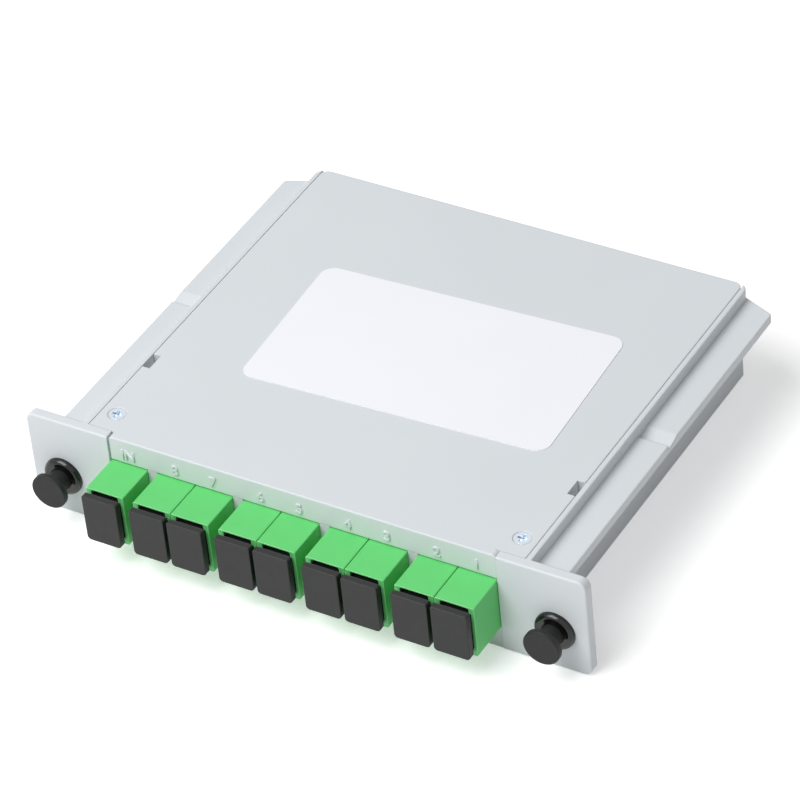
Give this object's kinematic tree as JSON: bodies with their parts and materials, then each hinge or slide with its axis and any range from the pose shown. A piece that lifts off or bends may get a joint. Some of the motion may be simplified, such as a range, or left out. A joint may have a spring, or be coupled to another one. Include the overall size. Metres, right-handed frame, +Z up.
{
  "type": "plc fibre splitter",
  "caption": "Plug-in optical splitter card: a flat moulded box with side rails, a front panel with push latches and a row of capped green fibre ports.",
  "frame": {"origin": "on the underside, in the middle of its width, in the plane of the front panel's rear face", "axes": "+X along the front panel towards port 1, +Y back from the panel, +Z up"},
  "size_m": [0.13, 0.109, 0.0242],
  "materials": {
    "housing": "fine matt moulded",
    "screw_steel": "bright zinc",
    "label": "smooth white",
    "adapter_green": "satin moulded",
    "insert_plastic": "natural",
    "connector_green": "satin moulded",
    "cap_black": "fine matt",
    "latch_black": "satin to gloss",
    "zirconia": "polished",
    "module_steel": "brushed",
    "boot_rubber": "matt",
    "fibre_jacket": "smooth white tubing"
  },
  "bodies": {
    "housing": {"base": "housing", "cover": "housing", "cover_screws": "screw_steel", "label": "label", "adapter_housing_in": "adapter_green", "latch_insert_in": "insert_plastic", "connector_in": "connector_green", "fibre_in": "fibre_jacket", "adapter_housing_8": "adapter_green", "latch_insert_8": "insert_plastic", "connector_8": "connector_green", "fibre_8": "fibre_jacket", "adapter_housing_7": "adapter_green", "latch_insert_7": "insert_plastic", "connector_7": "connector_green", "fibre_7": "fibre_jacket", "adapter_housing_6": "adapter_green", "latch_insert_6": "insert_plastic", "connector_6": "connector_green", "fibre_6": "fibre_jacket", "adapter_housing_5": "adapter_green", "latch_insert_5": "insert_plastic", "connector_5": "connector_green", "fibre_5": "fibre_jacket", "adapter_housing_4": "adapter_green", "latch_insert_4": "insert_plastic", "connector_4": "connector_green", "fibre_4": "fibre_jacket", "adapter_housing_3": "adapter_green", "latch_insert_3": "insert_plastic", "connector_3": "connector_green", "fibre_3": "fibre_jacket", "adapter_housing_2": "adapter_green", "latch_insert_2": "insert_plastic", "connector_2": "connector_green", "fibre_2": "fibre_jacket", "adapter_housing_1": "adapter_green", "latch_insert_1": "insert_plastic", "connector_1": "connector_green", "fibre_1": "fibre_jacket", "alignment_sleeves": "zirconia", "latch_grommet_left": "latch_black", "latch_grommet_right": "latch_black", "splitter_module": "module_steel", "module_boots": "boot_rubber", "fibre_coil": "fibre_jacket", "module_input_fibre": "fibre_jacket", "module_output_ribbon": "fibre_jacket"},
    "cap_in": {"dust_cap_in": "cap_black"},
    "cap_8": {"dust_cap_8": "cap_black"},
    "cap_7": {"dust_cap_7": "cap_black"},
    "cap_6": {"dust_cap_6": "cap_black"},
    "cap_5": {"dust_cap_5": "cap_black"},
    "cap_4": {"dust_cap_4": "cap_black"},
    "cap_3": {"dust_cap_3": "cap_black"},
    "cap_2": {"dust_cap_2": "cap_black"},
    "cap_1": {"dust_cap_1": "cap_black"},
    "plunger_left": {"latch_plunger_left": "latch_black"},
    "plunger_right": {"latch_plunger_right": "latch_black"}
  },
  "joints": [
    {"name": "cap_in_pull", "type": "slide", "parent": "housing", "child": "cap_in", "axis": [0, -1, 0], "range_m": [0, 0.02]},
    {"name": "cap_8_pull", "type": "slide", "parent": "housing", "child": "cap_8", "axis": [0, -1, 0], "range_m": [0, 0.02]},
    {"name": "cap_7_pull", "type": "slide", "parent": "housing", "child": "cap_7", "axis": [0, -1, 0], "range_m": [0, 0.02]},
    {"name": "cap_6_pull", "type": "slide", "parent": "housing", "child": "cap_6", "axis": [0, -1, 0], "range_m": [0, 0.02]},
    {"name": "cap_5_pull", "type": "slide", "parent": "housing", "child": "cap_5", "axis": [0, -1, 0], "range_m": [0, 0.02]},
    {"name": "cap_4_pull", "type": "slide", "parent": "housing", "child": "cap_4", "axis": [0, -1, 0], "range_m": [0, 0.02]},
    {"name": "cap_3_pull", "type": "slide", "parent": "housing", "child": "cap_3", "axis": [0, -1, 0], "range_m": [0, 0.02]},
    {"name": "cap_2_pull", "type": "slide", "parent": "housing", "child": "cap_2", "axis": [0, -1, 0], "range_m": [0, 0.02]},
    {"name": "cap_1_pull", "type": "slide", "parent": "housing", "child": "cap_1", "axis": [0, -1, 0], "range_m": [0, 0.02]},
    {"name": "latch_left_push", "type": "slide", "parent": "housing", "child": "plunger_left", "axis": [0, 1, 0], "range_m": [0, 0.0034]},
    {"name": "latch_right_push", "type": "slide", "parent": "housing", "child": "plunger_right", "axis": [0, 1, 0], "range_m": [0, 0.0034]}
  ]
}
